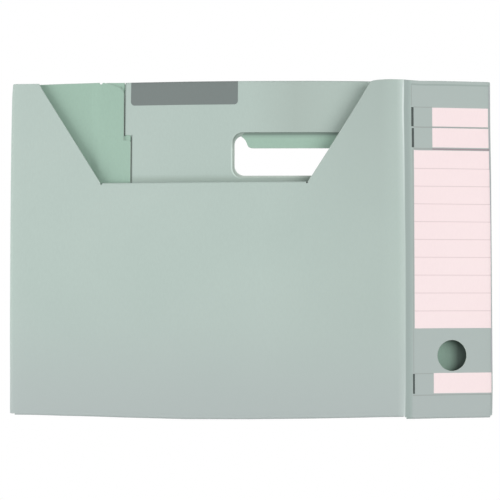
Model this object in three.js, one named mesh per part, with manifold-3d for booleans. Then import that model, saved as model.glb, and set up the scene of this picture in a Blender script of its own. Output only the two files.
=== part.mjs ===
// Document file box of printed card, collapsed flat as it is stored, lying on its back panel.
// One card sheet makes the whole box. It runs from the back panel over the spine and the front
// to the end panel, whose glue flap closes the sleeve on the inside of the back panel. The front
// has a wide sloping cut, the back has a hand hole, the spine a finger hole and printed fields.
//
// Millimetres. X runs along the box, from the end fold to the spine. Y runs from the bottom folds
// to the open top edge. Z points up from the surface that the box lies on. The origin is in the
// middle of the footprint, on that surface.

import * as THREE from 'three';
import { mergeVertices } from 'three/addons/utils/BufferGeometryUtils.js';
import Module from 'manifold-3d';

const wasm = await Module();
wasm.setup();

// The sheet and the four panels.
const card = 1.2;
const boxHeight = 266;
const frontLength = 313.5;
const spineWidth = 70.5;
const endWidth = spineWidth + card;

// Outer height of each fold of the collapsed sleeve over the surface below it.
const endFoldHeight = 6.6;
const ridgeHeight = 17;
const backFoldHeight = 7.4;
const ridgeRadius = 5;

// The sloping cut in the front, from the top edge down.
const cutDepth = 80;
const cutTopWidth = 263.4;
const cutFromEnd = 23.6;
const cutSlopeRun = 50;
const cutNickWidth = 1.6;
const cutFlapDepth = 30;

// The glue flap of the end panel, with its relieved upper part.
const glueFlapWidth = 24;
const glueRelief = 5.4;
const glueReliefDepth = 44.7;
const glueCornerRadius = 6;
const seamGap = 0.6;
const flapClearance = 1.1;

// The flap turned down from the top of the back panel, and its hand hole.
const topFlapDepth = 92;
const topFlapStepDepth = 40.6;
const topFlapEndGap = 8;
const topFlapSlit = 0.5;
const handHoleLength = 102;
const handHoleHeight = 36.6;
const handHoleRadius = 8;
const handHoleBelowTop = 57.7;
const handHoleLip = 2.2;
const tongueDepth = 12.6;
const tongueEndSlope = 10;
const tongueSlit = 2.6;

// The finger hole in the spine.
const fingerHoleDiameter = 23.6;
const fingerHoleAboveBottom = 48.8;
const fingerHoleFromRidge = 37.4;

// The flaps of the folding bottom, turned in against their panels.
const turnedGap = 0.4;
const creaseThinning = 0.1;
const creaseLeg = 1;
const longFlapDepth = 52;
const longFlapMitre = 1;
const shortFlapDepth = 34;
const shortFlapMitre = 0.6;
const flapEndInset = 4;
const topNotchWidth = 2.4;
const topNotchDepth = 1.6;

// Printed fields, as thin films that lie on the card.
const film = 0.2;
const filmGap = 0.3;
const titleLength = 85;
const titleHeight = 16.6;
const titleFromFlapEnd = 5.2;
const labelRightMargin = 0.5;
const labelBlockFromRidge = 7.4;
const labelBlockBelowTop = 55.3;
const labelRowPitch = 14.03;
const labelRowCount = 10;
const labelRuling = 0.5;
const shortFieldFromRidge = 22.4;
const shortFieldHeight = 15.4;
const shortFieldPitch = 16.4;
const shortFieldBelowTop = 21;
const footFieldHeight = 16;
const footFieldAboveBottom = 19.5;

const arcStep = Math.PI / 12;
const innerArcStep = Math.PI / 4;
const tongueSteps = 8;
const holeStep = Math.PI / 24;
const overcut = 5;

const printedCard = new THREE.MeshStandardMaterial({ color: 0xb7c7c0, roughness: 0.72, metalness: 0 });
const greyInk = new THREE.MeshStandardMaterial({ color: 0x838a89, roughness: 0.6, metalness: 0 });
const paleInk = new THREE.MeshStandardMaterial({ color: 0xfae8e8, roughness: 0.65, metalness: 0 });

// Solids are made from closed geometries, and joined or cut as solids.

function solidOf(geometry) {
  const bare = geometry.index ? geometry.toNonIndexed() : geometry.clone();
  bare.deleteAttribute('normal');
  bare.deleteAttribute('uv');
  const merged = mergeVertices(bare, 1e-5);
  return new wasm.Manifold(new wasm.Mesh({
    numProp: 3,
    vertProperties: merged.attributes.position.array,
    triVerts: new Uint32Array(merged.index.array),
  }));
}

function meshOf(solid, name, material) {
  const data = solid.getMesh();
  const geometry = new THREE.BufferGeometry();
  geometry.setAttribute('position', new THREE.BufferAttribute(new Float32Array(data.vertProperties), 3));
  geometry.setIndex(new THREE.BufferAttribute(new Uint32Array(data.triVerts), 1));
  const mesh = new THREE.Mesh(geometry, material);
  geometry.computeVertexNormals();
  mesh.name = name;
  return mesh;
}

function polygon(points) {
  return new THREE.Shape(points.map(([x, y]) => new THREE.Vector2(x, y)));
}

function rectangle(left, low, right, high) {
  return polygon([[left, low], [right, low], [right, high], [left, high]]);
}

function arc(x, y, radius, from, to, step = arcStep) {
  const count = Math.max(1, Math.round(Math.abs(to - from) / step));
  return Array.from({ length: count + 1 }, (_, i) => {
    const angle = from + ((to - from) * i) / count;
    return [x + radius * Math.cos(angle), y + radius * Math.sin(angle)];
  });
}

function roundedRectangle(left, low, right, high, radius) {
  return polygon([
    ...arc(right - radius, low + radius, radius, -Math.PI / 2, 0),
    ...arc(right - radius, high - radius, radius, 0, Math.PI / 2),
    ...arc(left + radius, high - radius, radius, Math.PI / 2, Math.PI),
    ...arc(left + radius, low + radius, radius, Math.PI, Math.PI * 1.5),
  ]);
}

// A shape extruded from one level to another along the third axis of a frame.
function prism(shape, from, to, axes, origin) {
  const geometry = new THREE.ExtrudeGeometry(shape, { depth: to - from, bevelEnabled: false });
  geometry.translate(0, 0, from);
  geometry.applyMatrix4(new THREE.Matrix4().makeBasis(...axes).setPosition(origin));
  return solidOf(geometry);
}

const X = new THREE.Vector3(1, 0, 0);
const Y = new THREE.Vector3(0, 1, 0);
const Z = new THREE.Vector3(0, 0, 1);
const centre = new THREE.Vector3();
const top = boxHeight / 2;
const bottom = -boxHeight / 2;

// The sleeve's section is a belt round three rolls: the end fold, the ridge between the front and
// the spine, and the fold between the spine and the back. The surface closes it from below.

const endRoll = { r: endFoldHeight / 2, z: endFoldHeight / 2 };
const ridgeRoll = { r: ridgeRadius, z: ridgeHeight - ridgeRadius };
const backRoll = { r: backFoldHeight / 2, z: backFoldHeight / 2 };
const frontRun = Math.sqrt((frontLength - endRoll.r) ** 2 - (ridgeRoll.z - endRoll.z) ** 2);
const spineRun = Math.sqrt((spineWidth - backRoll.r) ** 2 - (ridgeRoll.z - backRoll.z) ** 2);
const flatWidth = endRoll.r + frontRun + spineRun + backRoll.r;
endRoll.x = endRoll.r - flatWidth / 2;
ridgeRoll.x = endRoll.x + frontRun;
backRoll.x = ridgeRoll.x + spineRun;
const seamX = -flatWidth / 2 + endWidth;

// Angle of the normal that two rolls share where the card runs straight from one to the other.
function sharedNormal(left, right) {
  const dx = right.x - left.x;
  const dz = right.z - left.z;
  return Math.atan2(dz, dx) + Math.acos((left.r - right.r) / Math.hypot(dx, dz));
}

const frontNormal = sharedNormal(endRoll, ridgeRoll);
const spineNormal = sharedNormal(ridgeRoll, backRoll);

function beltOverRolls(inset) {
  return [
    ...arc(backRoll.x, backRoll.z, backRoll.r - inset, -Math.PI / 2, spineNormal),
    ...arc(ridgeRoll.x, ridgeRoll.z, ridgeRoll.r - inset, spineNormal, frontNormal),
    ...arc(endRoll.x, endRoll.z, endRoll.r - inset, frontNormal, Math.PI * 1.5),
  ];
}

// The end panel steps up by one card onto the back panel, where it becomes the glue flap.
function sleeveSection() {
  const mitre = card * Math.tan(Math.PI / 8);
  const outer = polygon([
    ...beltOverRolls(0),
    [seamX - card, 0],
    [seamX, card],
    [seamX + seamGap, card],
    [seamX + seamGap, 0],
  ]);
  const inner = polygon([
    ...beltOverRolls(card),
    [seamX - card - mitre, card],
    [seamX - mitre, 2 * card],
    [seamX + glueFlapWidth, 2 * card],
    [seamX + glueFlapWidth, card],
  ]);
  outer.holes.push(inner);
  return outer;
}

// Each panel has its own frame: u along the sheet from the panel's first fold, v along the box's
// height, w out of its outer face. The sheet runs front, spine, back, end.
function panelFrame(origin, w) {
  return { origin, u: new THREE.Vector3().crossVectors(Y, w), v: Y, w };
}

function panelOverRoll(roll, angle) {
  const normal = new THREE.Vector3(Math.cos(angle), 0, Math.sin(angle));
  const rollCentre = new THREE.Vector3(roll.x, 0, roll.z);
  return panelFrame(rollCentre.addScaledVector(normal, roll.r), normal);
}

function panelOnSurface(x) {
  return panelFrame(new THREE.Vector3(x, 0, 0), new THREE.Vector3(0, 0, -1));
}

const front = panelOverRoll(endRoll, frontNormal);
const spine = panelOverRoll(ridgeRoll, spineNormal);
const back = panelOnSurface(backRoll.x);
const end = panelOnSurface(seamX);
front.length = Math.hypot(frontRun, ridgeRoll.z - endRoll.z);
spine.length = Math.hypot(spineRun, ridgeRoll.z - backRoll.z);
back.length = backRoll.x - seamX - seamGap;
end.length = seamX - endRoll.x;

// A plate in a panel's plane, and a length of section along the panel.
function plate(panel, shape, from, to) {
  return prism(shape, from, to, [panel.u, panel.v, panel.w], panel.origin);
}

function along(panel, section, from, to) {
  return prism(section, from, to, [panel.v, panel.w, panel.u], panel.origin);
}

// Where a flap is turned in, the panel ends one fold radius short and the rolled fold brings it
// out again. edge is where the fold lies in v, and side is 1 for a fold at the top of a panel and -1
// for one at its bottom. The card is pressed thinner at the crease, and its two legs run a little
// way into the panel and the flap.
const foldRadius = card + turnedGap / 2;

function turnedFold(panel, { from, to, edge, side }) {
  const outerRadius = foldRadius - creaseThinning;
  const innerRadius = turnedGap / 2 + creaseThinning;
  const axis = edge - side * outerRadius;
  const leg = axis - side * creaseLeg;
  const start = side > 0 ? Math.PI / 2 : -Math.PI / 2;
  const section = polygon([
    [leg, -foldRadius + side * outerRadius],
    ...arc(axis, -foldRadius, outerRadius, start, start - Math.PI),
    [leg, -foldRadius - side * outerRadius],
    [leg, -foldRadius - side * innerRadius],
    ...arc(axis, -foldRadius, innerRadius, start - Math.PI, start, innerArcStep),
    [leg, -foldRadius + side * innerRadius],
  ]);
  return along(panel, section, from, to);
}

// The turned-in flap itself: outline is drawn in the panel's u and v.
function flapPlate(panel, outline) {
  return plate(panel, outline, -2 * foldRadius, -2 * foldRadius + card);
}

function bottomFlap(panel, depth, mitreSlope, farInset = flapEndInset) {
  const from = flapEndInset;
  const to = panel.length - farInset;
  const base = bottom + foldRadius;
  const mitre = (depth - foldRadius) * mitreSlope;
  const outline = polygon([
    [from, base],
    [to, base],
    [to - mitre, bottom + depth],
    [from + mitre, bottom + depth],
  ]);
  const fold = turnedFold(panel, { from, to, edge: bottom, side: -1 });
  return fold.add(flapPlate(panel, outline));
}

// The cut in the front, and the strip of the cut-out that is turned in at its low edge.
const cutLowEdge = top - cutDepth;
const cutLeft = cutFromEnd - endRoll.r;
const cutRight = cutLeft + cutTopWidth;
const cutSlope = cutSlopeRun / cutDepth;

function cutOutline() {
  const low = cutLowEdge - foldRadius;
  const lowInset = (top - low) * cutSlope;
  const highOutset = overcut * cutSlope;
  return polygon([
    [cutLeft + lowInset, low],
    [cutRight - lowInset, low],
    [cutRight + highOutset, top + overcut],
    [cutLeft - highOutset, top + overcut],
  ]);
}

function cutFlap() {
  const high = cutLowEdge - foldRadius;
  const low = cutLowEdge - cutFlapDepth;
  const from = cutLeft + cutSlopeRun + cutNickWidth;
  const to = cutRight - cutSlopeRun - cutNickWidth;
  const spread = (high - low) * cutSlope;
  const outline = polygon([[from, high], [from - spread, low], [to + spread, low], [to, high]]);
  return turnedFold(front, { from, to, edge: cutLowEdge, side: 1 }).add(flapPlate(front, outline));
}

// Things on the back panel are drawn in X and Y, at a level over the surface.
function overSurface(shape, from, to) {
  return prism(shape, from, to, [X, Y, Z], centre);
}

const topFlapLeft = seamX + glueFlapWidth - glueRelief + flapClearance;
const topFlapRight = backRoll.x + backRoll.r - topFlapEndGap;
const handHoleX = (seamX + backRoll.x + backRoll.r) / 2;
const handHoleY = top - handHoleBelowTop;

function handHole(inset) {
  const halfLength = handHoleLength / 2 - inset;
  const halfHeight = handHoleHeight / 2 - inset;
  return roundedRectangle(
    handHoleX - halfLength,
    handHoleY - halfHeight,
    handHoleX + halfLength,
    handHoleY + halfHeight,
    handHoleRadius,
  );
}

// The tongue hangs from the top of the back panel's hole, in that panel's plane.
function tongueOutline() {
  const root = handHoleY + handHoleHeight / 2 + overcut;
  const foot = handHoleY + handHoleHeight / 2 - tongueDepth;
  const slitEnd = foot + tongueDepth - tongueSlit;
  const halfRoot = handHoleLength / 2 - handHoleLip - handHoleRadius + tongueSlit;
  const halfFoot = halfRoot - tongueEndSlope;
  const endCurve = new THREE.CubicBezierCurve(
    new THREE.Vector2(halfFoot, foot),
    new THREE.Vector2(halfFoot + tongueEndSlope / 2, foot),
    new THREE.Vector2(halfRoot - tongueEndSlope / 2, slitEnd),
    new THREE.Vector2(halfRoot, slitEnd),
  );
  const right = [...endCurve.getPoints(tongueSteps), new THREE.Vector2(halfRoot, root)];
  const left = right.map((point) => new THREE.Vector2(-point.x, point.y)).reverse();
  return polygon([...right, ...left].map((point) => [handHoleX + point.x, point.y]));
}

// The top flap lies glued on the back panel, so its fold is closed: half a disc, two cards thick.
function topFold() {
  const radius = card - creaseThinning;
  const axis = top - radius;
  const section = polygon([
    ...arc(axis, card, radius, -Math.PI / 2, Math.PI / 2),
    [axis - creaseLeg, card + radius],
    [axis - creaseLeg, card - radius],
  ]);
  return prism(section, topFlapLeft, topFlapRight, [Y, Z, X], centre);
}

function topFlap() {
  const high = top - card;
  const step = top - topFlapStepDepth;
  const low = top - topFlapDepth;
  const outline = polygon([
    [topFlapLeft, high],
    [topFlapLeft, step],
    [topFlapLeft + glueRelief, step - glueRelief],
    [topFlapLeft + glueRelief, low],
    [topFlapRight, low],
    [topFlapRight, high],
  ]);
  outline.holes.push(handHole(0));
  return topFold().add(overSurface(outline, card / 2, 2 * card));
}

// The back panel stops where the top flap's fold begins, with a short slit at each end of it.
function backEdgeTrim() {
  const left = topFlapLeft - topFlapSlit;
  const right = topFlapRight + topFlapSlit;
  return overSurface(rectangle(left, top - card, right, top + overcut), -overcut, card);
}

// What the glue flap leaves free for the top flap.
function glueTrim() {
  const right = seamX + glueFlapWidth;
  const relieved = right - glueRelief;
  const low = top - glueReliefDepth;
  const cornerX = relieved - glueCornerRadius;
  const clear = right + flapClearance / 2;
  const shape = polygon([
    [cornerX, top + overcut],
    ...arc(cornerX, top - glueCornerRadius, glueCornerRadius, Math.PI / 2, 0),
    [relieved, low],
    [right, low - glueRelief],
    [clear, low - glueRelief],
    [clear, top + overcut],
  ]);
  return overSurface(shape, card, 2 * card + flapClearance);
}

function seamNotch() {
  const shape = polygon([
    [seamX - topNotchWidth / 2, top + topNotchDepth],
    [seamX, top - topNotchDepth],
    [seamX + topNotchWidth, top + topNotchDepth],
  ]);
  return overSurface(shape, -overcut, 2 * card + flapClearance);
}

function fingerHole() {
  const centreV = bottom + fingerHoleAboveBottom;
  const rim = arc(fingerHoleFromRidge, centreV, fingerHoleDiameter / 2, 0, Math.PI * 2, holeStep);
  return plate(spine, polygon(rim.slice(1)), -overcut, overcut);
}

function cardBody() {
  const sleeve = prism(sleeveSection(), -top, -bottom - foldRadius, [X, Z, Y.clone().negate()], centre);
  const backHole = overSurface(handHole(handHoleLip), -overcut, card + overcut);
  const tongue = overSurface(tongueOutline(), -2 * overcut, card + 2 * overcut);
  const cuts = [
    plate(front, cutOutline(), -overcut, overcut),
    backHole.subtract(tongue),
    backEdgeTrim(),
    glueTrim(),
    seamNotch(),
    fingerHole(),
  ];
  const flaps = [
    topFlap(),
    cutFlap(),
    bottomFlap(front, longFlapDepth, longFlapMitre),
    bottomFlap(spine, shortFlapDepth, shortFlapMitre),
    bottomFlap(back, longFlapDepth, longFlapMitre, glueFlapWidth + flapClearance),
    bottomFlap(end, shortFlapDepth, shortFlapMitre),
  ];
  const cut = cuts.reduce((body, piece) => body.subtract(piece), sleeve);
  return flaps.reduce((body, piece) => body.add(piece), cut);
}

// Printed fields: each is a film of one colour over its own patch of card.
function spineField(left, low, right, high) {
  return plate(spine, rectangle(left, low, right, high), filmGap, filmGap + film);
}

function labelFields() {
  const right = spine.length - labelRightMargin;
  const fields = [];
  for (let i = 0; i < 2; i += 1) {
    const high = top - shortFieldBelowTop - i * shortFieldPitch;
    fields.push([`short_field_${i + 1}`, shortFieldFromRidge, high - shortFieldHeight, right, high]);
  }
  for (let i = 0; i < labelRowCount; i += 1) {
    const high = top - labelBlockBelowTop - i * labelRowPitch;
    fields.push([`label_row_${i + 1}`, labelBlockFromRidge, high - labelRowPitch + labelRuling, right, high]);
  }
  const foot = bottom + footFieldAboveBottom;
  fields.push(['foot_field', shortFieldFromRidge, foot, right, foot + footFieldHeight]);
  return fields.map(([name, ...corners]) => meshOf(spineField(...corners), name, paleInk));
}

function titlePatch() {
  const left = topFlapLeft + titleFromFlapEnd;
  const shape = rectangle(left, top - titleHeight, left + titleLength, top - card);
  return meshOf(overSurface(shape, 2 * card, 2 * card + film), 'title_patch', greyInk);
}

const box = new THREE.Group();
box.add(meshOf(cardBody(), 'card_body', printedCard));
box.add(titlePatch());
box.add(...labelFields());

export default box;
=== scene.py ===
import math

import bpy
import numpy as np
from mathutils import Matrix, Vector
from mathutils.geometry import delaunay_2d_cdt


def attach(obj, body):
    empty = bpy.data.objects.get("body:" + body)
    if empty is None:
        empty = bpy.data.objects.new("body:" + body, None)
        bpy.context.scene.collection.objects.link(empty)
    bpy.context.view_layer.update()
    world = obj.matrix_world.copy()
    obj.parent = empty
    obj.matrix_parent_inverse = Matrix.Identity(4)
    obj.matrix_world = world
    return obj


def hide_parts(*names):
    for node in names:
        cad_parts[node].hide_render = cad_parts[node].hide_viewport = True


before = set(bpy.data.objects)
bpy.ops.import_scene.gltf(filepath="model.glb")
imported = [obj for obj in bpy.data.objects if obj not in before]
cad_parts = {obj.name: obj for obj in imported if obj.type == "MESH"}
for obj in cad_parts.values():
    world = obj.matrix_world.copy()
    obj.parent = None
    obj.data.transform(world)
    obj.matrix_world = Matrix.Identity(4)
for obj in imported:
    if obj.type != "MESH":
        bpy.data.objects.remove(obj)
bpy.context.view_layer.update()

MM = 0.001

# the sheet's sizes, in millimetres

CARD = 1.2
TOP, BOTTOM = 133.0, -133.0
END_ROLL, RIDGE_ROLL, BACK_ROLL = 3.3, 5.0, 3.7
FRONT_LENGTH, SPINE_WIDTH, RIDGE_HEIGHT = 313.5, 70.5, 17.0
END_WIDTH = SPINE_WIDTH + CARD
SEAM_GAP, STEP_RUN = 0.6, 9.0
GLUE_WIDTH, GLUE_RELIEF, GLUE_CORNER = 24.0, 5.4, 7.5
GLUE_STEP_Y, GLUE_CORNER_Y = TOP - 46.3, TOP - 10
LONG_FLAP, LONG_MITRE = 52.0, 1.0
SHORT_FLAP, SHORT_MITRE = 34.0, 0.6
FOLD = CARD + 0.2
BEVEL = 0.14
RIDGE_Z = RIDGE_HEIGHT - RIDGE_ROLL

front_run = math.sqrt((FRONT_LENGTH - END_ROLL) ** 2 - (RIDGE_Z - END_ROLL) ** 2)
spine_run = math.sqrt((SPINE_WIDTH - BACK_ROLL) ** 2 - (RIDGE_Z - BACK_ROLL) ** 2)
HALF = (END_ROLL + front_run + spine_run + BACK_ROLL) / 2
END_X = END_ROLL - HALF
RIDGE_X = END_X + front_run
BACK_X = RIDGE_X + spine_run
SEAM_X = END_WIDTH - HALF


def shared_normal(xa, za, ra, xb, zb, rb):
    """Angle of the normal of the line that lies on two circles, from the first to the second."""
    dx, dz = xb - xa, zb - za
    return math.atan2(dz, dx) + math.acos((ra - rb) / math.hypot(dx, dz))


FRONT_N = shared_normal(END_X, END_ROLL, END_ROLL, RIDGE_X, RIDGE_Z, RIDGE_ROLL)
SPINE_N = shared_normal(RIDGE_X, RIDGE_Z, RIDGE_ROLL, BACK_X, BACK_ROLL, BACK_ROLL)

# The sheet is drawn flat: s runs along it from the seam edge of the back panel, over the spine and
# the front, to the glue flap; t runs up it. Each stretch of s is a straight run or a roll.
stretches = []


def add_run(name, x0, z0, x1, z1):
    length = math.hypot(x1 - x0, z1 - z0)
    start = stretches[-1]["to"] if stretches else 0.0
    stretches.append({"name": name, "from": start, "to": start + length, "a": (x0, z0), "b": (x1, z1)})


def add_roll(name, x, z, radius, angle0, angle1):
    start = stretches[-1]["to"]
    stretches.append({"name": name, "from": start, "to": start + radius * (angle1 - angle0),
                      "c": (x, z, radius, angle0, angle1)})


def on_roll(x, z, radius, angle):
    return x + radius * math.cos(angle), z + radius * math.sin(angle)


add_run("back", SEAM_X + SEAM_GAP, 0.0, BACK_X, 0.0)
add_roll("back_roll", BACK_X, BACK_ROLL, BACK_ROLL, -math.pi / 2, SPINE_N)
add_run("spine", *on_roll(BACK_X, BACK_ROLL, BACK_ROLL, SPINE_N),
        *on_roll(RIDGE_X, RIDGE_Z, RIDGE_ROLL, SPINE_N))
add_roll("ridge", RIDGE_X, RIDGE_Z, RIDGE_ROLL, SPINE_N, FRONT_N)
add_run("front", *on_roll(RIDGE_X, RIDGE_Z, RIDGE_ROLL, FRONT_N),
        *on_roll(END_X, END_ROLL, END_ROLL, FRONT_N))
add_roll("end_roll", END_X, END_ROLL, END_ROLL, FRONT_N, math.pi * 1.5)
add_run("end", END_X, 0.0, SEAM_X - STEP_RUN, 0.0)
add_run("step", SEAM_X - STEP_RUN, 0.0, SEAM_X, CARD)
add_run("glue", SEAM_X, CARD, SEAM_X + GLUE_WIDTH, CARD)
S = {k["name"]: (k["from"], k["to"]) for k in stretches}
S_END = stretches[-1]["to"]
RIDGE_S = (S["ridge"][0] + S["ridge"][1]) / 2


def belt(s):
    """Point (x, z) of the outer surface and its outward normal at s."""
    s = np.asarray(s, float)
    x, z, nx, nz = (np.zeros_like(s) for _ in range(4))
    for k in stretches:
        last = k is stretches[-1]
        inside = (s >= k["from"]) & ((s <= k["to"]) if last else (s < k["to"]))
        if k is stretches[0]:
            inside |= s < k["from"]
        if last:
            inside |= s > k["to"]
        w = (s[inside] - k["from"]) / (k["to"] - k["from"])
        if "c" in k:
            cx, cz, radius, a0, a1 = k["c"]
            angle = a0 + (a1 - a0) * w
            x[inside], z[inside] = cx + radius * np.cos(angle), cz + radius * np.sin(angle)
            nx[inside], nz[inside] = np.cos(angle), np.sin(angle)
        else:
            (ax, az), (bx, bz) = k["a"], k["b"]
            x[inside] = ax + (bx - ax) * w
            if k["name"] == "step":
                z[inside] = az + (bz - az) * w * w * (3 - 2 * w)
                nx[inside], nz[inside] = 0.0, -1.0
            else:
                z[inside] = az + (bz - az) * w
                length = math.hypot(bx - ax, bz - az)
                nx[inside], nz[inside] = (bz - az) / length, -(bx - ax) / length
    return x, z, nx, nz


# the cut, the flaps and the holes

CUT_DEPTH = 80.7
CUT_LOW = TOP - CUT_DEPTH
CUT_LEFT = 23.6 - END_ROLL
CUT_RIGHT = CUT_LEFT + 263.4
CUT_RUN, NICK = 50.0, 1.6
CUT_SLOPE = CUT_RUN / 80.0
STRIP_DEPTH = 28.0
CUT_LEFT_TOP, CUT_LEFT_FOOT = CUT_LEFT - 1.9, CUT_LEFT + CUT_RUN - 1.1
CUT_RIGHT_TOP, CUT_RIGHT_FOOT = CUT_RIGHT + 1.9, CUT_RIGHT - CUT_RUN + 1.1


def front_s(u):
    """Where a place u along the front, from the end fold, lies on the flat sheet."""
    return S["front"][1] - u


def spine_s(u):
    """Where a place u across the spine, from the ridge, lies on the flat sheet."""
    return S["spine"][1] - u


def back_s(x):
    """Where a place x of the back panel lies on the flat sheet."""
    return x - (SEAM_X + SEAM_GAP)


FLAP_LEFT = SEAM_X + GLUE_WIDTH - GLUE_RELIEF + 0.75
FLAP_RIGHT = HALF - 8.0
FLAP_DEPTH, FLAP_STEP = 92.0, 5.4
HOLE_X = (SEAM_X + HALF) / 2 + 0.9
HOLE_Y = TOP - 59.1
HOLE_HALF_X, HOLE_HALF_Y, HOLE_RADIUS = 51.0, 18.3, 8.0
FLAP_HOLE_Y, FLAP_HOLE_HALF_Y = HOLE_Y + 0.4, 17.9
TONGUE_DEPTH = 12.6
LIP = 1.6
FINGER_U, FINGER_Y = 37.2, BOTTOM + 49.0
FINGER_HALF_U, FINGER_HALF_Y = 11.7, 12.1
TOP_START = TOP - CARD
TOP_TURN = math.pi * CARD
LOW_START = BOTTOM + FOLD
LOW_TURN = math.pi * FOLD
STRIP_START = CUT_LOW - FOLD
strip_low = (front_s(CUT_RIGHT_FOOT - NICK), front_s(CUT_LEFT_FOOT + NICK))


def flap_t(y):
    """Where a height y of the turned-down flap lies on the flat sheet."""
    return TOP_START + TOP_TURN + (TOP_START - y)


def place(s, t, depth):
    """World position in mm of a point of the sheet, depth below its outer surface."""
    s, t = np.asarray(s, float), np.asarray(t, float)
    depth = np.broadcast_to(np.asarray(depth, float), s.shape)
    x, z, nx, nz = belt(s)
    y, sink = t.copy(), depth.copy()

    def turned(mask, start, radius, sign):
        past = np.abs(t[mask] - start)
        angle = np.minimum(past / radius, math.pi)
        reach = (radius - depth[mask]) * np.sin(angle)
        beyond = np.maximum(past - math.pi * radius, 0.0)
        y[mask] = start + sign * (reach - beyond)
        sink[mask] = radius - (radius - depth[mask]) * np.cos(angle)

    on_back = s < S["back"][1]
    turned(on_back & (t > TOP_START) & (s > back_s(FLAP_LEFT) - 0.25) & (s < back_s(FLAP_RIGHT) + 0.25),
           TOP_START, CARD, 1)
    turned(t < LOW_START, LOW_START, FOLD, -1)
    widen = np.maximum(t - CUT_LOW, 0.0) * CUT_SLOPE
    on_strip = (s > strip_low[0] - widen - 0.3) & (s < strip_low[1] + widen + 0.3) & (t > STRIP_START)
    turned(on_strip, STRIP_START, FOLD, 1)

    lift = relief(s, t, y)
    x, z = x + nx * (lift - sink), z + nz * (lift - sink)
    return bowed(x, y, z, s)


def relief(s, t, y):
    """Small departures of the card from flat, along its normal."""
    ridge = s - RIDGE_S
    crease = 0.30 * np.exp(-((ridge - 1.2) / 1.3) ** 2) - 0.22 * np.exp(-((ridge + 3.2) / 1.6) ** 2)
    front = np.clip((s - S["front"][0]) / (S["front"][1] - S["front"][0]), 0, 1)
    height = np.clip((y - BOTTOM) / (TOP - BOTTOM), 0, 1)
    belly = 0.9 * np.sin(math.pi * front) * np.sin(math.pi * height)
    score = -0.12 * np.exp(-((y - (BOTTOM + 2.6)) / 0.5) ** 2)
    return crease + belly + score


def bowed(x, y, z, s):
    """The card's long edges bow a little outward, as in the photograph, and the end fold bulges."""
    on_spine = (s > S["back"][1]) & (s < RIDGE_S)
    under = s < S["back"][1]
    top_bow = np.interp(x, BOW_X, BOW_TOP)
    low_bow = np.where(on_spine, np.interp(x, SPINE_X, SPINE_LOW), np.interp(x, BOW_X, BOW_LOW))
    low_bow = low_bow - np.where(under, 0.7, 0.0)
    share = y / TOP
    shift = np.where(share > 0, share * top_bow, share * low_bow)
    side = np.interp(y, LEFT_Y, LEFT_BOW) * np.clip(-x / HALF, 0, 1) ** 2
    side += np.interp(y, RIGHT_Y, RIGHT_BOW) * np.clip(x / HALF, 0, 1) ** 2
    return np.stack([x + side, y + shift, z], -1)


# how far the edges depart from straight, as places along an edge and the shift there
BOW_X = [-192.0, -172.0, -150.0, -125.0, -100.0, -50.0, 0.0, 50.0, 90.0, 104.0, 121.0, 135.0, 150.0, 192.0]
BOW_TOP = [-0.1, -0.05, 0.7, 1.3, 1.3, 2.0, 2.3, 2.2, 1.7, 1.2, 0.5, -0.4, -0.2, -0.4]
BOW_LOW = [-1.0, -0.9, -0.35, 0.1, 0.8, 1.8, 1.6, 0.8, -0.2, -0.6, -0.9, -0.9, 0.0, -0.2]
SPINE_X = [121.0, 135.0, 150.0, 192.0]
SPINE_LOW = [0.7, 0.6, 0.3, -0.1]
LEFT_Y = [-130.0, -110.0, -90.0, -68.0, -28.0, 12.0, 52.0, 90.0, 115.0, 124.0, 131.0, 136.0]
LEFT_BOW = [-0.1, -0.2, -0.35, -0.65, -0.8, -0.95, -0.95, -0.75, -0.45, -0.3, 0.15, 0.8]
RIGHT_Y = [-133.0, -110.0, -60.0, 0.0, 60.0, 95.0, 133.0]
RIGHT_BOW = [-0.45, 0.0, -0.05, -0.1, -0.2, -0.6, -0.6]


def arc(cx, cy, radius, a0, a1, steps=8):
    angles = np.radians(np.linspace(a0, a1, steps + 1))
    return [(cx + radius * math.cos(a), cy + radius * math.sin(a)) for a in angles]


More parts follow.
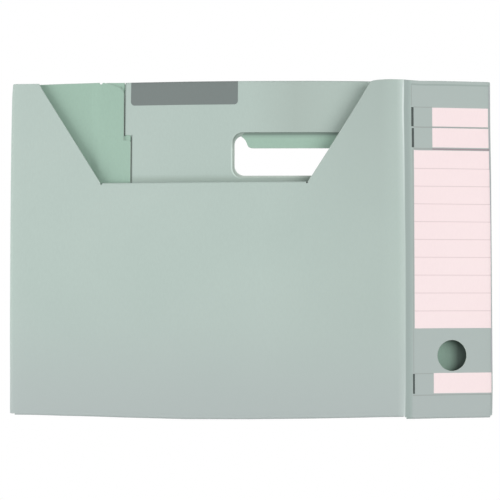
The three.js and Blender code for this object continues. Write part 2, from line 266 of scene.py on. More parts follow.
def sheet_outline():
    """Outer loop of the flat sheet, anticlockwise, from the lower seam corner of the back panel."""
    low = BOTTOM + FOLD
    points = []

    def bottom_flap(s0, s1, depth, mitre):
        root = LOW_START
        tip = LOW_START - LOW_TURN - (depth - FOLD)
        slope = (depth - FOLD) * mitre
        points.extend([(s0, root), (s0, root - LOW_TURN), (s0 + slope, tip + 2), (s0 + slope + 2, tip),
                       (s1 - slope - 2, tip), (s1 - slope, tip + 2), (s1, root - LOW_TURN), (s1, root)])

    points.append((0.0, low + 0.6))
    bottom_flap(26.0, S["back"][1] - 3.0, LONG_FLAP, LONG_MITRE)
    points.append(((S["back_roll"][0] + S["back_roll"][1]) / 2, low + 0.9))
    bottom_flap(S["spine"][0] - 1.5, spine_s(1.0), SHORT_FLAP, SHORT_MITRE)
    points.append((RIDGE_S, BOTTOM + 1.3))
    bottom_flap(S["front"][0] + 0.5, front_s(1.0), LONG_FLAP, LONG_MITRE)
    points.append((front_s(0.4), low - 0.5))
    points.append(((S["end_roll"][0] + S["end_roll"][1]) / 2, low - 0.1))
    bottom_flap(S["end"][0] + 1.0, S["end"][1] - 2.0, SHORT_FLAP, SHORT_MITRE)
    points.append((S["step"][0], low + 0.4))
    points.append((S_END - 1.5, low + 0.4))
    points.append((S_END, low + 2.0))

    relieved = S_END - GLUE_RELIEF
    points.extend([(S_END, GLUE_STEP_Y - 1.2), (S_END - 1.0, GLUE_STEP_Y - 0.2),
                   (relieved + 1.0, GLUE_STEP_Y), (relieved, GLUE_STEP_Y + 0.8)])
    points.extend(arc(relieved - GLUE_CORNER, GLUE_CORNER_Y, GLUE_CORNER, 0, 90))
    points.append((relieved - 13, TOP - 0.8))
    seam = S["step"][1] - SEAM_GAP
    points.extend([(seam + 2.0, TOP), (seam, TOP - 1.6), (seam - 1.2, TOP)])
    points.append((S["end_roll"][1] + 1.0, TOP))
    points.append((S["end_roll"][0] - 1.0, TOP))

    left, right = front_s(CUT_LEFT_TOP), front_s(CUT_RIGHT_TOP)
    low_left, low_right = front_s(CUT_LEFT_FOOT), front_s(CUT_RIGHT_FOOT)
    spread = STRIP_DEPTH * CUT_SLOPE
    strip_tip = STRIP_START + LOW_TURN + STRIP_DEPTH
    points.append((left, TOP))
    points.extend([(low_left, CUT_LOW), (low_left - 0.1, CUT_LOW - 1.1),
                   (strip_low[1] + 0.75, CUT_LOW - 1.75), (strip_low[1] + 0.1, CUT_LOW - 1.3),
                   (strip_low[1], STRIP_START + LOW_TURN),
                   (strip_low[1] + spread, strip_tip), (strip_low[0] - spread, strip_tip),
                   (strip_low[0], STRIP_START + LOW_TURN), (strip_low[0] - 0.1, CUT_LOW - 1.3),
                   (strip_low[0] - 0.75, CUT_LOW - 1.75), (low_right + 0.1, CUT_LOW - 1.1),
                   (low_right, CUT_LOW)])
    for share, out in ((0.2, 0.35), (0.4, 0.7), (0.6, 0.9), (0.75, 0.85), (0.88, 0.6)):
        points.append((low_right + (right - low_right) * share - out, CUT_LOW + CUT_DEPTH * share))
    points.extend([(right + 1.2, TOP - 2.6), (right + 0.4, TOP - 1.9), (right - 1.2, TOP - 1.4),
                   (right - 5.0, TOP - 0.8), (right - 10.0, TOP - 0.3), (right - 16.0, TOP)])
    points.append((S["ridge"][0] + 1.0, TOP))
    points.append((S["spine"][0], TOP))
    points.append((S["back"][1], TOP))

    edge = back_s(FLAP_RIGHT)
    tip = flap_t(TOP - FLAP_DEPTH)
    points.extend([(edge + 0.7, TOP), (edge + 0.7, TOP_START), (edge, TOP_START),
                   (edge, tip - 2), (edge - 2, tip)])
    inner = back_s(FLAP_LEFT)
    points.extend([(inner + FLAP_STEP, tip), (inner + FLAP_STEP, flap_t(TOP - 43.2)),
                   (inner + FLAP_STEP - 0.8, flap_t(TOP - 42.2)), (inner, flap_t(TOP - 41.9)),
                   (inner, TOP_START), (inner - 0.7, TOP_START), (inner - 0.7, TOP)])
    points.extend([(3.4, TOP), (1.2, TOP - 1.6), (0.0, TOP - 1.2)])
    return clean_loop(points)


def clean_loop(points):
    """The loop without points that nearly repeat the one before."""
    kept = []
    for p in points:
        if not kept or math.dist(p, kept[-1]) > 0.02:
            kept.append(p)
    if math.dist(kept[0], kept[-1]) < 0.02:
        kept.pop()
    return kept


def rounded_hole(cx, cy, half_x, half_y, radius):
    return (arc(cx + half_x - radius, cy - half_y + radius, radius, -90, 0)
            + arc(cx + half_x - radius, cy + half_y - radius, radius, 0, 90)
            + arc(cx - half_x + radius, cy + half_y - radius, radius, 90, 180)
            + arc(cx - half_x + radius, cy - half_y + radius, radius, 180, 270))


def back_hole():
    """The back panel's own hand hole, with the tongue left hanging from its top."""
    cx = back_s(HOLE_X)
    half_x, half_y, radius = HOLE_HALF_X - LIP, HOLE_HALF_Y - LIP, HOLE_RADIUS
    foot = HOLE_Y + HOLE_HALF_Y - TONGUE_DEPTH
    shoulder = half_x - radius + 2.6
    curve = []
    for inward, over in ((10.1, 0), (7.6, 0.25), (6.0, 0.9), (5.0, 2.2),
                         (4.2, 4.4), (3.2, 6.4), (1.9, 7.9), (0, 9.2)):
        curve.append((shoulder - inward, foot + over))
    right = (arc(cx + half_x - radius, HOLE_Y - half_y + 0.8 + radius, radius, -90, 0)
             + arc(cx + half_x - radius + 1.2, HOLE_Y + half_y - radius, radius - 1.2, 0, 80, 7))
    mirrored = [(2 * cx - x, y) for x, y in reversed(right)]
    tongue = [(cx + x, y) for x, y in reversed(curve)] + [(cx - x, y) for x, y in curve]
    return right + tongue + mirrored


def flap_hole():
    """The hand hole of the turned-down flap."""
    loop = rounded_hole(back_s(HOLE_X), FLAP_HOLE_Y, HOLE_HALF_X, FLAP_HOLE_HALF_Y, HOLE_RADIUS)
    return [(x, flap_t(y)) for x, y in loop]


def finger_hole():
    return [(spine_s(FINGER_U) + FINGER_HALF_U * math.cos(a), FINGER_Y + FINGER_HALF_Y * math.sin(a))
            for a in np.linspace(0, 2 * math.pi, 49)[:-1]]


# from the flat sheet to a mesh

# material slots of the card
OUTSIDE, INSIDE, EDGE, RIM = range(4)
# folds of up to this many degrees are shaded smooth
SMOOTH_UP_TO = 38
# length in the UV layer of one millimetre of the flat sheet
UV = 0.01


def spaced(lines, gap):
    """The sorted lines, without those that follow another too closely."""
    lines = sorted(set(np.round(lines, 3)))
    kept = [lines[0]]
    for value in lines[1:]:
        if value - kept[-1] > gap:
            kept.append(value)
    return np.array(kept)


def grid_lines():
    """Places along s where the mesh has a line of points."""
    lines = []
    for k in stretches:
        length = k["to"] - k["from"]
        if "c" in k:
            count = max(4, round(length / 0.9))
        elif k["name"] == "step":
            count = 8
        else:
            count = max(2, round(length / 5.5))
        lines.extend(np.linspace(k["from"], k["to"], count + 1)[:-1])
    lines.append(S_END)
    lines.extend(RIDGE_S + np.arange(-6, 6.1, 0.75))
    return spaced(lines, 0.4)


def height_lines():
    """Places along t where the mesh has a line of points."""
    low_tip = LOW_START - LOW_TURN
    lines = list(np.arange(BOTTOM + 6, TOP - 4, 5.5))
    lines += list(np.linspace(low_tip, LOW_START, 9)) + [BOTTOM + 2.1, BOTTOM + 2.6, BOTTOM + 3.1]
    lines += list(np.linspace(TOP_START, TOP_START + TOP_TURN, 9)) + [TOP - 2.5]
    lines += list(np.linspace(STRIP_START, STRIP_START + LOW_TURN, 9))
    lines += list(np.arange(TOP_START + TOP_TURN + 3, flap_t(TOP - FLAP_DEPTH), 5.5))
    lines += list(np.arange(low_tip - 55, low_tip - 2, 5.5))
    return spaced(lines, 0.35)


def split_at(loop, cuts_s, cuts_t, longest=2.6):
    """The loop with points added where it crosses the grid, and along its long stretches."""
    out = []
    for (x0, y0), (x1, y1) in zip(loop, loop[1:] + loop[:1]):
        marks = {0.0}
        for a, b, cuts in ((x0, x1, cuts_s), (y0, y1, cuts_t)):
            if abs(b - a) > 1e-6:
                inside = cuts[(cuts > min(a, b)) & (cuts < max(a, b))]
                marks.update((inside - a) / (b - a))
        length = math.hypot(x1 - x0, y1 - y0)
        marks.update(np.linspace(0, 1, max(1, math.ceil(length / longest)) + 1)[:-1])
        last = -1.0
        for w in sorted(marks):
            if (w - last) * length > 0.3 and (1 - w) * length > 0.2 or w == 0.0:
                out.append((x0 + (x1 - x0) * w, y0 + (y1 - y0) * w))
                last = w
    return np.array(out)


def anticlockwise(loop):
    x, y = loop[:, 0], loop[:, 1]
    return np.sum(x * np.roll(y, -1) - np.roll(x, -1) * y) > 0


def inside_loop(points, loop):
    """Which points lie inside the loop."""
    x, y = points[:, 0], points[:, 1]
    found = np.zeros(len(points), bool)
    for (x0, y0), (x1, y1) in zip(loop, np.roll(loop, -1, 0)):
        if y0 == y1:
            continue
        crosses = ((y0 > y) != (y1 > y)) & (x < (x1 - x0) * (y - y0) / (y1 - y0) + x0)
        found ^= crosses
    return found


def inset(loop, amount, hole):
    """The loop moved into the material by amount."""
    ahead, behind = np.roll(loop, -1, 0) - loop, loop - np.roll(loop, 1, 0)
    ahead /= np.linalg.norm(ahead, axis=1, keepdims=True)
    behind /= np.linalg.norm(behind, axis=1, keepdims=True)
    n0 = np.stack([-behind[:, 1], behind[:, 0]], 1)
    n1 = np.stack([-ahead[:, 1], ahead[:, 0]], 1)
    both = n0 + n1
    both /= np.maximum(np.linalg.norm(both, axis=1, keepdims=True), 0.3)
    sign = 1.0 if anticlockwise(loop) != hole else -1.0
    return loop + sign * amount * both


def near_loops(points, loops, gap):
    """Which points lie within gap of a loop."""
    close = np.zeros(len(points), bool)
    for loop in loops:
        a, b = loop, np.roll(loop, -1, 0)
        for p, q in zip(a, b):
            d = q - p
            box = ((points[:, 0] > min(p[0], q[0]) - gap) & (points[:, 0] < max(p[0], q[0]) + gap)
                   & (points[:, 1] > min(p[1], q[1]) - gap) & (points[:, 1] < max(p[1], q[1]) + gap))
            index = np.nonzero(box)[0]
            if len(index):
                rel = points[index] - p
                w = np.clip(rel @ d / max(d @ d, 1e-9), 0, 1)
                close[index[np.linalg.norm(rel - w[:, None] * d, axis=1) < gap]] = True
    return close


def on_card(points, loops):
    """Which points lie inside the outline, the first loop, and outside the holes."""
    keep = inside_loop(points, loops[0])
    for hole in loops[1:]:
        keep &= ~inside_loop(points, hole)
    return keep


def triangulated(loops, grid):
    """The flat sheet between its loops: points, triangles, and the numbers of each loop's points."""
    points, edges, starts = [], [], []
    for loop in loops:
        base = len(points)
        starts.append(base)
        points.extend(map(tuple, loop))
        edges.extend((base + i, base + (i + 1) % len(loop)) for i in range(len(loop)))
    points.extend(map(tuple, grid))
    made = delaunay_2d_cdt([Vector(p) for p in points], edges, [], 0, 1e-5, True)
    flat, _, triangles, origin, _, _ = made
    flat, triangles = np.array([tuple(p) for p in flat]), np.array(triangles)
    triangles = triangles[on_card(flat[triangles].mean(1), loops)]
    where = {old: new for new, olds in enumerate(origin) for old in olds}
    rings = [[where[start + i] for i in range(len(loop))] for loop, start in zip(loops, starts)]
    return flat, triangles, rings


def build_card():
    """The sheet as a closed mesh: its vertices, faces, material slots and places on the flat sheet."""
    cuts_s, cuts_t = grid_lines(), height_lines()
    loops = [split_at(sheet_outline(), cuts_s, cuts_t)]
    loops += [split_at(h, cuts_s, cuts_t, 1.6) for h in (back_hole(), flap_hole(), finger_hole())]
    face_loops = [inset(loop, BEVEL, i > 0) for i, loop in enumerate(loops)]
    gs, gt = np.meshgrid(cuts_s, cuts_t)
    grid = np.stack([gs.ravel(), gt.ravel()], 1)
    grid = grid[on_card(grid, face_loops)]
    grid = grid[~near_loops(grid, face_loops, 0.3)]
    flat, triangles, rings = triangulated(face_loops, grid)

    count = len(flat)
    verts = [place(flat[:, 0], flat[:, 1], 0.0), place(flat[:, 0], flat[:, 1], CARD)]
    flats = [flat, flat]
    faces = [(a, c, b) for a, b, c in triangles]
    slots = [OUTSIDE] * len(faces)
    faces += [(a + count, b + count, c + count) for a, b, c in triangles]
    middle = flat[triangles].mean(1)
    off_x = np.abs(middle[:, 0] - back_s(HOLE_X))
    round_hole = (off_x < HOLE_HALF_X + 3) & (np.abs(middle[:, 1] - HOLE_Y) < 21)
    tongue = (off_x < HOLE_HALF_X - HOLE_RADIUS) & (middle[:, 1] > HOLE_Y + HOLE_HALF_Y - 13)
    slots += list(np.where(round_hole & ~tongue, RIM, INSIDE))
    base = 2 * count
    for order, (loop, ring0) in enumerate(zip(loops, rings)):
        n = len(loop)
        ring3 = [r + count for r in ring0]
        verts += [place(loop[:, 0], loop[:, 1], BEVEL), place(loop[:, 0], loop[:, 1], CARD - BEVEL)]
        flats += [loop, loop]
        ring1, ring2 = list(range(base, base + n)), list(range(base + n, base + 2 * n))
        base += 2 * n
        card_on_left = anticlockwise(loop) != (order > 0)
        for upper, lower in ((ring0, ring1), (ring1, ring2), (ring2, ring3)):
            for i in range(n):
                j = (i + 1) % n
                if card_on_left:
                    faces.append((upper[i], upper[j], lower[j], lower[i]))
                else:
                    faces.append((upper[i], lower[i], lower[j], upper[j]))
                slots.append(EDGE)
    return np.vstack(verts), faces, slots, np.vstack(flats)


def add_mesh(name, verts, faces, materials, flats, slots=None):
    """An object from vertices in mm; flats, their places on the sheet, go into the UV layer."""
    mesh = bpy.data.meshes.new(name)
    mesh.from_pydata([tuple(v) for v in np.asarray(verts) * MM], [], faces)
    for material in materials:
        mesh.materials.append(material)
    if slots is not None:
        mesh.polygons.foreach_set("material_index", np.array(slots, np.int32))
    mesh.polygons.foreach_set("use_smooth", np.ones(len(mesh.polygons), bool))
    mesh.set_sharp_from_angle(angle=math.radians(SMOOTH_UP_TO))
    layer = mesh.uv_layers.new(name="flat")
    index = np.zeros(len(mesh.loops), np.int32)
    mesh.loops.foreach_get("vertex_index", index)
    layer.data.foreach_set("uv", (np.asarray(flats)[index] * UV).astype(np.float32).ravel())
    mesh.validate()
    mesh.update()
    obj = bpy.data.objects.new(name, mesh)
    bpy.context.scene.collection.objects.link(obj)
    return obj


def patch(name, s0, s1, t0, t1, material, lift=0.05, corner=0.0):
    """A printed field: a skin over the card between two places along s and two along t.
    With corner, the two corners at t1 are rounded by that radius."""
    s0, s1 = min(s0, s1), max(s0, s1)
    cuts = grid_lines()
    ss = np.unique(np.concatenate([[s0, s1], cuts[(cuts > s0 + 0.05) & (cuts < s1 - 0.05)]]))
    rows = height_lines()
    ends = t1 - corner * (1 - np.sin(np.radians(np.linspace(0, 90, 8))))
    tt = np.unique(np.concatenate([[t0], ends, rows[(rows > t0 + 0.05) & (rows < ends[0] - 0.05)]]))
    gs, gt = np.meshgrid(ss, tt)
    flats = np.stack([gs.ravel(), gt.ravel()], 1)
    if corner:
        rise = np.clip(flats[:, 1] - (t1 - corner), 0, corner)
        trim = corner - np.sqrt(corner ** 2 - rise ** 2)
        flats[:, 0] = np.clip(flats[:, 0], s0 + trim, s1 - trim)
    verts = place(flats[:, 0], flats[:, 1], -lift)
    n = len(ss)
    faces = [(r * n + c, (r + 1) * n + c, (r + 1) * n + c + 1, r * n + c + 1)
             for r in range(len(tt) - 1) for c in range(n - 1)]
    return add_mesh(name, verts, faces, [material], flats)


# materials

SPECULAR = 0.3


def srgb(r, g, b):
    def linear(v):
        v /= 255
        return v / 12.92 if v <= 0.04045 else ((v + 0.055) / 1.055) ** 2.4
    return (linear(r), linear(g), linear(b), 1.0)


def scaled(colour, factor):
    return tuple(min(1, c * factor) for c in colour[:3]) + (1,)


class Paint:
    """Short names for the shader nodes that a paper material is made of."""

    def __init__(self, name):
        self.material = bpy.data.materials.new(name)
        self.material.use_nodes = True
        tree = self.material.node_tree
        self.nodes, self.links = tree.nodes, tree.links
        self.shader = self.nodes["Principled BSDF"]
        self.coord = self.nodes.new("ShaderNodeTexCoord")

    def feed(self, value, socket):
        """Links another node's output, or sets the socket's own value."""
        if hasattr(value, "is_output"):
            self.links.new(value, socket)
        else:
            socket.default_value = value

    def noise(self, scale, detail, stretch=(1, 1, 1)):
        mapping = self.nodes.new("ShaderNodeMapping")
        mapping.inputs["Scale"].default_value = stretch
        texture = self.nodes.new("ShaderNodeTexNoise")
        texture.inputs["Scale"].default_value = scale
        texture.inputs["Detail"].default_value = detail
        self.links.new(self.coord.outputs["Object"], mapping.inputs["Vector"])
        self.links.new(mapping.outputs["Vector"], texture.inputs["Vector"])
        return texture.outputs["Fac"]

    def mix(self, factor, a, b):
        node = self.nodes.new("ShaderNodeMix")
        node.data_type = "RGBA"
        for value, socket in ((factor, node.inputs[0]), (a, node.inputs[6]), (b, node.inputs[7])):
            self.feed(value, socket)
        return node.outputs[2]

    def ramp(self, source, low, high, to_low=0.0, to_high=1.0):
        node = self.nodes.new("ShaderNodeMapRange")
        for name, value in (("From Min", low), ("From Max", high), ("To Min", to_low), ("To Max", to_high)):
            node.inputs[name].default_value = value
        self.links.new(source, node.inputs["Value"])
        return node.outputs["Result"]

    def calc(self, operation, a, b=0.0):
        node = self.nodes.new("ShaderNodeMath")
        node.operation = operation
        self.feed(a, node.inputs[0])
        self.feed(b, node.inputs[1])
        return node.outputs[0]

    def times(self, a, b):
        return self.calc("MULTIPLY", a, b)

    def read_sheet(self):
        """Places on the flat sheet, from the UV layer."""
        layer = self.nodes.new("ShaderNodeUVMap")
        layer.uv_map = "flat"
        split = self.nodes.new("ShaderNodeSeparateXYZ")
        self.links.new(layer.outputs["UV"], split.inputs["Vector"])
        self.along_s, self.up_t = split.outputs["X"], split.outputs["Y"]

    def band(self, source, points):
        """Piecewise mask: 0 to 1 over a list of (place in mm, value)."""
        curve = self.nodes.new("ShaderNodeValToRGB")
        low, high = points[0][0], points[-1][0]
        elements = curve.color_ramp.elements
        while len(elements) < len(points):
            elements.new(0.5)
        for element, (where, value) in zip(elements, points):
            element.position = (where - low) / (high - low)
            element.color = (value, value, value, 1)
        self.links.new(self.ramp(source, low * UV, high * UV), curve.inputs["Fac"])
        return curve.outputs["Color"]

    def past(self, source, place):
        """How far source lies past a place in mm, and 0 before it."""
        return self.calc("MAXIMUM", self.calc("SUBTRACT", source, place * UV), 0.0)

    def away(self, source, place):
        return self.calc("ABSOLUTE", self.calc("SUBTRACT", source, place * UV))

    def reach(self, off_s, off_t):
        squares = self.calc("ADD", self.times(off_s, off_s), self.times(off_t, off_t))
        return self.calc("SQRT", squares)


def inside_shades(paint, colour):
    """The bare inner side: painted shade under the spine, and painted shadow lines where its flaps lie on
    each other, round the glue flap's corner and under the flap's hole.
    """
    band, along_s, up_t = paint.band, paint.along_s, paint.up_t
    # painted shade on the inside of the back panel, under the spine and the finger hole
    under_spine_shade = band(along_s, [(back_s(HOLE_SHADE), 0), (back_s(HOLE_SHADE + 8), 0.33),
                                 (back_s(HOLE_SHADE + 15), 1), (S["spine"][0] - 1, 1), (S["spine"][0], 0)])
    colour = paint.mix(under_spine_shade, colour, srgb(84, 99, 92))

    # painted shadow lines in the gaps beside the turned-down flap's two left edges
    upper = band(up_t, [(TOP - 43, 0), (TOP - 42.2, 1), (TOP - 12, 1), (TOP - 8, 0.45), (TOP, 0.45)])
    lower = band(up_t, [(TOP - 43, 1), (TOP - 42.2, 0)])
    for left, part in ((back_s(FLAP_LEFT), upper), (back_s(FLAP_LEFT) + FLAP_STEP, lower)):
        gap = band(along_s, [(left - 1.0, 0), (left - 0.8, 1), (left + 0.2, 1), (left + 0.4, 0)])
        colour = paint.mix(paint.times(gap, part), colour, srgb(50, 62, 57))

    # painted shadow along the glue flap's rounded corner
    corner_s = S_END - GLUE_RELIEF - GLUE_CORNER
    off = paint.reach(paint.past(along_s, corner_s), paint.past(up_t, GLUE_CORNER_Y))
    corner_shadow = band(off, [(6.5, 0), (7.1, 0.35), (7.5, 0.7), (8.0, 0)])
    corner_shadow_part = paint.times(band(along_s, [(corner_s - 2, 0), (corner_s + 3, 1)]),
                            band(up_t, [(TOP - 46.5, 0), (TOP - 46, 1)]))
    colour = paint.mix(paint.times(corner_shadow, corner_shadow_part), colour, srgb(104, 124, 114))

    # painted shadow on the tongue, under the top edge of the flap's hand hole
    tongue_shadow = band(up_t, [(HOLE_Y + 13.3, 0), (HOLE_Y + 15.6, 0.35), (HOLE_Y + 16.8, 1), (HOLE_Y + 19, 1),
                       (HOLE_Y + 21, 0)])
    across = band(along_s, [(back_s(HOLE_X - 52), 0), (back_s(HOLE_X - 50), 1), (back_s(HOLE_X + 50), 1),
                            (back_s(HOLE_X + 52), 0)])
    return paint.mix(paint.times(tongue_shadow, across), colour, srgb(120, 138, 129))


def rim_shades(paint, colour):
    """The lip round the hand hole, with painted shade at its top."""
    lip_top_shade = paint.band(paint.up_t, [(HOLE_Y + 7, 0), (HOLE_Y + 14, 1)])
    return paint.mix(lip_top_shade, colour, srgb(150, 165, 157))


def outside_shades(paint, colour):
    """The printed side: the darker spine; painted shade at the foot, on the flap and by the ridge; a painted
    highlight and worn bright line on the ridge; painted shadows by the flap and cut; a painted highlight on
    the rim.
    """
    band, along_s, up_t = paint.band, paint.along_s, paint.up_t
    r = RIDGE_S
    spine = band(along_s, [(S["back"][1], 0), (S["spine"][0] - 3, 1), (r - 7, 1), (r - 5, 0)])
    colour = paint.mix(spine, colour, srgb(175, 187, 183))
    # painted shade, darker towards the bottom
    foot = band(up_t, [(-133, 1), (-112, 0.8), (-60, 0.2), (-20, 0)])
    colour = paint.mix(foot, colour, srgb(176, 186, 184))

    # the painted highlight, painted shade and worn bright line on the ridge wander a little along it
    swing = band(up_t, [(-133, 0.6), (-100, 0.8), (-40, 0.95), (0, 1), (40, 0.72), (80, 0.64), (111, 0.38),
                        (128, 0.62)])
    fold_s = paint.calc("ADD", along_s, paint.times(paint.calc("SUBTRACT", swing, 0.5), RIDGE_SWING * UV))
    # painted shade in a band beside the ridge, on the spine side
    ridge_shade = band(fold_s, [(r - 9, 0), (r - 6.4, 0.05), (r - 4.9, 0.75), (r - 3.5, 1), (r - 0.4, 1),
                            (r + 0.2, 0)])
    colour = paint.mix(ridge_shade, colour, srgb(161, 175, 171))
    # painted highlight on the front side of the ridge
    soft = band(fold_s, [(r - 0.2, 0), (r + 0.2, 1), (r + 1.4, 0.6), (r + 3.2, 0.35), (r + 6, 0)])
    highlight_part = band(up_t, [(-133, 0.6), (-90, 0.32), (0, 0.38), (50, 0.55), (133, 0.9)])
    colour = paint.mix(paint.times(soft, highlight_part), colour, srgb(206, 218, 214))
    # a bright line on the ridge: worn card and painted highlight
    line = band(fold_s, [(r - 0.1, 0), (r + 0.15, 1), (r + 0.8, 1), (r + 1.4, 0)])
    worn_highlight_part = band(up_t, [(-133, 0.15), (-40, 0.02), (30, 0.05), (70, 0.3), (110, 0.75), (126, 0.7),
                            (132, 0.2)])
    colour = paint.mix(paint.times(line, worn_highlight_part), colour, srgb(230, 240, 237))
    # painted shade on the front beside the ridge, strongest at the top
    upper_shade = band(up_t, [(-110, 0), (-60, 0.4), (20, 0.4), (90, 0.8), (133, 1)])
    near_ridge_shade = band(along_s, [(r + 1, 0), (r + 6, 0.4), (r + 18, 0.9), (r + 40, 0.8), (r + 110, 0)])
    colour = paint.mix(paint.times(upper_shade, near_ridge_shade), colour, srgb(170, 184, 178))

    # painted highlight on the ring round the left end of the flap's hand hole
    off_s = paint.past(paint.away(along_s, back_s(HOLE_X)), HOLE_HALF_X - HOLE_RADIUS)
    off_t = paint.past(paint.away(up_t, flap_t(FLAP_HOLE_Y)), FLAP_HOLE_HALF_Y - HOLE_RADIUS)
    rim_highlight = band(paint.reach(off_s, off_t), [(7.9, 0), (8.1, 1), (8.9, 1), (9.5, 0)])
    rim_highlight = paint.times(rim_highlight, band(up_t, [(flap_t(HOLE_Y + 12), 0.1), (flap_t(HOLE_Y + 5), 1)]))
    rim_highlight_left = band(along_s, [(back_s(HOLE_X - 47), 0.75), (back_s(HOLE_X - 41), 0)])
    colour = paint.mix(paint.times(rim_highlight, rim_highlight_left), colour, srgb(212, 229, 220))

    # painted shade over the back panel's outside, on the turned-down flap
    flap_shade = band(along_s, [(back_s(0), 0), (back_s(36), 0.6), (back_s(62), 0.35), (S["back"][1], 0.3),
                               (S["spine"][0] - 2, 0)])
    colour = paint.mix(flap_shade, colour, srgb(168, 181, 174))
    # painted shadow on the flap just above the front's cut edge
    cut_edge_shadow = band(up_t, [(flap_t(CUT_LOW + 7), 0), (flap_t(CUT_LOW + 3.6), 0.5),
                            (flap_t(CUT_LOW + 2), 0.5), (flap_t(CUT_LOW + 0.6), 0.15), (flap_t(CUT_LOW), 0)])
    colour = paint.mix(cut_edge_shadow, colour, srgb(160, 176, 166))
    # painted shadow lines beside the turned-down flap's left edges
    turned = band(up_t, [(133.5, 0), (134.5, 1), (flap_t(TOP - 41.5), 1), (flap_t(TOP - 42.5), 0)])
    low_part = band(up_t, [(flap_t(TOP - 41.5), 0), (flap_t(TOP - 42.5), 1)])
    for left, part in ((back_s(FLAP_LEFT), turned), (back_s(FLAP_LEFT) + FLAP_STEP, low_part)):
        flap_edge_shadow = band(along_s, [(left - 0.2, 0), (left - 0.1, 1), (left + 0.3, 0.8), (left + 0.9, 0)])
        colour = paint.mix(paint.times(flap_edge_shadow, part), colour, srgb(100, 114, 108))
    return colour


def paper_material(name, base, dark, light, roughness, grain=1.0, fleck=0.0, shades=None):
    """Printed or bare board: soft clouding, fibre grain in colour and relief, a little gloss variation.
    shades adds the darker and lighter places of one side of the card, mostly painted shade and painted
    highlight."""
    paint = Paint(name)
    shader = paint.shader
    shader.inputs["Specular IOR Level"].default_value = SPECULAR
    cloud = paint.ramp(paint.noise(9, 3), 0.3, 0.7)
    fibre = paint.noise(900, 4, (1, 0.35, 1))
    clouded = paint.mix(0.5, base, paint.mix(cloud, dark, light))
    grained = paint.mix(paint.ramp(fibre, 0.25, 0.75), scaled(base, 1 - 0.05 * grain),
                        scaled(base, 1 + 0.05 * grain))
    colour = paint.mix(0.45, clouded, grained)
    if fleck:
        spots = paint.ramp(paint.noise(420, 2), 0.66, 0.74)
        colour = paint.mix(paint.times(spots, fleck), colour, scaled(base, 0.62))
    if shades:
        paint.read_sheet()
        colour = shades(paint, colour)
    gloss = paint.ramp(paint.noise(160, 2), 0.0, 1.0, roughness - 0.06, roughness + 0.06)
    bump = paint.nodes.new("ShaderNodeBump")
    bump.inputs["Strength"].default_value = 0.18 * grain
    bump.inputs["Distance"].default_value = 0.0002
    paint.links.new(colour, shader.inputs["Base Color"])
    paint.links.new(gloss, shader.inputs["Roughness"])
    paint.links.new(fibre, bump.inputs["Height"])
    paint.links.new(bump.outputs["Normal"], shader.inputs["Normal"])
    return paint.material


def ink(name, base, dark, light, roughness=0.55, grain=0.4):
    return paper_material(name, srgb(*base), srgb(*dark), srgb(*light), roughness, grain)


# where the painted shade on the inside of the back panel starts, under the finger hole
HOLE_SHADE = 150.0
# how far the painted highlight, painted shade and worn bright line on the ridge wander
RIDGE_SWING = 1.4

outside = paper_material("printed_outside", srgb(181, 197, 190), srgb(174, 192, 185), srgb(188, 203, 196),
                         0.62, shades=outside_shades)
inside = paper_material("board_inside", srgb(161, 190, 174), srgb(154, 184, 168), srgb(168, 195, 180), 0.78,
                        1.3, 0.1, inside_shades)
rim = paper_material("board_rim", srgb(186, 198, 190), srgb(180, 192, 184), srgb(192, 204, 196), 0.8,
                     shades=rim_shades)
edge = paper_material("cut_edge", srgb(196, 208, 200), srgb(182, 196, 188), srgb(206, 216, 208), 0.85, 1.6)
grey_ink = ink("grey_ink", (123, 132, 130), (119, 128, 126), (129, 138, 135), 0.5, 0.6)
pale_ink = ink("pale_ink", (250, 231, 232), (248, 227, 228), (252, 236, 236), 0.6, 0.5)
rule_ink = ink("rule_ink", (226, 206, 207), (222, 202, 203), (230, 210, 211), 0.6, 0.3)
line_ink = ink("line_ink", (160, 168, 165), (154, 162, 159), (166, 174, 170))
heavy_ink = ink("heavy_ink", (158, 146, 150), (152, 140, 144), (164, 152, 156))
frame_top_ink = ink("frame_top_ink", (160, 174, 169), (156, 170, 165), (164, 178, 173))
frame_ink = ink("frame_ink", (188, 184, 194), (184, 180, 190), (192, 188, 198))
bar_ink = ink("bar_ink", (70, 80, 77), (66, 76, 73), (76, 86, 83), 0.5)

# the card and its print

verts, faces, slots, flats = build_card()
card = add_mesh("card", verts, faces, [outside, inside, edge, rim], flats, slots)
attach(card, "root")
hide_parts("card_body")


def printed(name, u0, u1, v0, v1, material, node=None, lift=0.05):
    """A field on the spine: u from the ridge, v over the bottom."""
    piece = patch(name, spine_s(u0), spine_s(u1), BOTTOM + v0, BOTTOM + v1, material, lift)
    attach(piece, "root")
    if node:
        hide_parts(node)


# places across the spine from the ridge, and up it from the bottom
FIELD_LEFT, ROW_LEFT = 22.4, 7.4
ROW_COUNT, ROW_PITCH = 10, 14.03
HALF_RULE = 0.3


def field_right(v):
    """The print runs closer to the fold lower down."""
    return np.interp(v, [20, 80, 150, 240], [69.0, 69.1, 69.0, 67.8])


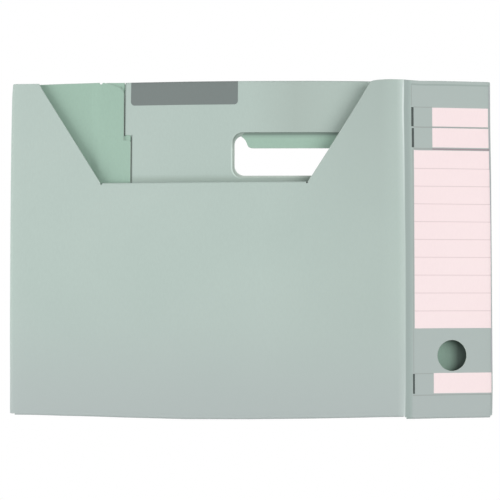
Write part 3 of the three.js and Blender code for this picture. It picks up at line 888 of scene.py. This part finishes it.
printed("field_1", FIELD_LEFT, field_right(237), 229.6, 244.6, pale_ink, "short_field_1")
printed("field_2", FIELD_LEFT, field_right(220), 213.0, 228.4, pale_ink, "short_field_2")
row_top = [210.9] + [196.2 - ROW_PITCH * i for i in range(ROW_COUNT - 1)] + [70.4]
for i in range(ROW_COUNT):
    upper, lower = row_top[i], row_top[i + 1]
    row_right = field_right((upper + lower) / 2)
    ruled = i < ROW_COUNT - 1
    printed(f"row_{i + 1}", ROW_LEFT, row_right, lower + (HALF_RULE if ruled else 0), upper - HALF_RULE,
            pale_ink, f"label_row_{i + 1}")
    if ruled:
        printed(f"rule_{i + 1}", ROW_LEFT, row_right, lower - HALF_RULE, lower + HALF_RULE,
                rule_ink)
printed("foot", FIELD_LEFT, field_right(27), 19.6, 35.4, pale_ink, "foot_field")

printed("rule_fields", 7.6, field_right(229), 228.5, 229.5, line_ink)
printed("rule_heavy_left", 7.4, FIELD_LEFT, 211.1, 212.5, line_ink)
printed("rule_heavy", FIELD_LEFT, 68.6, 210.95, 212.3, heavy_ink)
printed("rule_top", 7.6, 22.4, 244.6, 245.2, line_ink)
printed("rule_foot_top", 6.6, 21.9, 34.8, 35.4, line_ink)
printed("rule_foot_low", 5.8, field_right(18), 17.9, 18.7, line_ink)
printed("frame_top", 5.6, 68.6, 262.2, 263.5, frame_top_ink)
printed("frame_right", 68.9, 69.5, 36.0, 262.6, frame_ink)
printed("frame_left_top", 5.4, 5.9, 245.6, 262.6, line_ink)
printed("frame_left", 6.3, 6.7, 36.0, 211.0, line_ink)
printed("bar_1", 5.5, 7.35, 229.3, 244.6, bar_ink, lift=0.08)
printed("bar_2", 5.8, 7.6, 212.7, 228.0, bar_ink, lift=0.08)
printed("bar_3", 5.8, 7.3, 19.5, 35.0, bar_ink, lift=0.08)

TITLE_LEFT, TITLE_LENGTH = FLAP_LEFT + 4.65, 86.0
title = patch("title", back_s(TITLE_LEFT), back_s(TITLE_LEFT + TITLE_LENGTH), TOP_START + 0.6,
              flap_t(TOP - 18.6), grey_ink, corner=3.0)
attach(title, "root")
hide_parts("title_patch")

# floor, light and camera

def floor_material():
    """White where the camera looks straight at it, and pale for all light that it sends back."""
    material = bpy.data.materials.new("floor_pale")
    material.use_nodes = True
    nodes, links = material.node_tree.nodes, material.node_tree.links
    nodes.clear()
    output = nodes.new("ShaderNodeOutputMaterial")
    blend = nodes.new("ShaderNodeMixShader")
    path = nodes.new("ShaderNodeLightPath")
    matte = nodes.new("ShaderNodeBsdfDiffuse")
    matte.inputs["Color"].default_value = (0.82, 0.82, 0.82, 1)
    white = nodes.new("ShaderNodeEmission")
    white.inputs["Color"].default_value = (1, 1, 1, 1)
    links.new(path.outputs["Is Camera Ray"], blend.inputs[0])
    links.new(matte.outputs[0], blend.inputs[1])
    links.new(white.outputs[0], blend.inputs[2])
    links.new(blend.outputs[0], output.inputs["Surface"])
    return material


FLOOR_HALF, FLOOR_Z = 6, -0.0004
corners = [(x * FLOOR_HALF, y * FLOOR_HALF, FLOOR_Z) for x, y in ((-1, -1), (1, -1), (1, 1), (-1, 1))]
mesh = bpy.data.meshes.new("floor")
mesh.from_pydata(corners, [], [(0, 1, 2, 3)])
mesh.materials.append(floor_material())
floor = bpy.data.objects.new("floor", mesh)
bpy.context.scene.collection.objects.link(floor)


def area_light(name, position, size, power):
    """A soft rectangular light that faces the middle of the box."""
    light = bpy.data.lights.new(name, "AREA")
    light.shape = "RECTANGLE"
    light.size, light.size_y = size
    light.energy = power
    obj = bpy.data.objects.new(name, light)
    obj.location = position
    obj.rotation_euler = (-Vector(position)).to_track_quat("-Z", "Y").to_euler()
    bpy.context.scene.collection.objects.link(obj)


area_light("soft_over", (-0.1, -0.1, 1.7), (2.2, 2.2), 3)
area_light("soft_left", (-1.5, -0.1, 1.0), (0.9, 1.4), 19.5)
area_light("soft_right", (1.1, 0.15, 1.4), (0.7, 1.4), 15.6)

# soft light from all round, and plain white where the camera sees past the floor
world = bpy.data.worlds.new("studio")
world.use_nodes = True
nodes, links = world.node_tree.nodes, world.node_tree.links
soft = nodes["Background"]
soft.inputs["Color"].default_value = (1, 1, 1, 1)
soft.inputs["Strength"].default_value = 0.3
seen = nodes.new("ShaderNodeBackground")
seen.inputs["Color"].default_value = (1, 1, 1, 1)
seen.inputs["Strength"].default_value = 1.0
ray = nodes.new("ShaderNodeLightPath")
either = nodes.new("ShaderNodeMixShader")
links.new(ray.outputs["Is Camera Ray"], either.inputs[0])
links.new(soft.outputs[0], either.inputs[1])
links.new(seen.outputs[0], either.inputs[2])
links.new(either.outputs[0], nodes["World Output"].inputs["Surface"])
bpy.context.scene.world = world
bpy.context.scene.view_settings.view_transform = "Standard"

# the photograph is taken from straight above, turned and tipped by the small angles below
EYE_HEIGHT = 1.2
TURN, TIP_Y, TIP_X = 0.05345, 2.13386, 2.57786

camera_data = bpy.data.cameras.new("camera")
camera_data.sensor_width = 36
camera_data.lens = 108
camera = bpy.data.objects.new("camera", camera_data)
turn = (Matrix.Rotation(math.radians(TURN), 3, "Z") @ Matrix.Rotation(math.radians(TIP_Y), 3, "Y")
        @ Matrix.Rotation(math.radians(TIP_X), 3, "X"))
aim = Vector((-0.25, -0.55, 0.0)) * MM
eye = aim + turn @ Vector((0, 0, EYE_HEIGHT))
camera.matrix_world = Matrix.Translation(eye) @ turn.to_4x4()
bpy.context.scene.collection.objects.link(camera)
bpy.context.scene.camera = camera
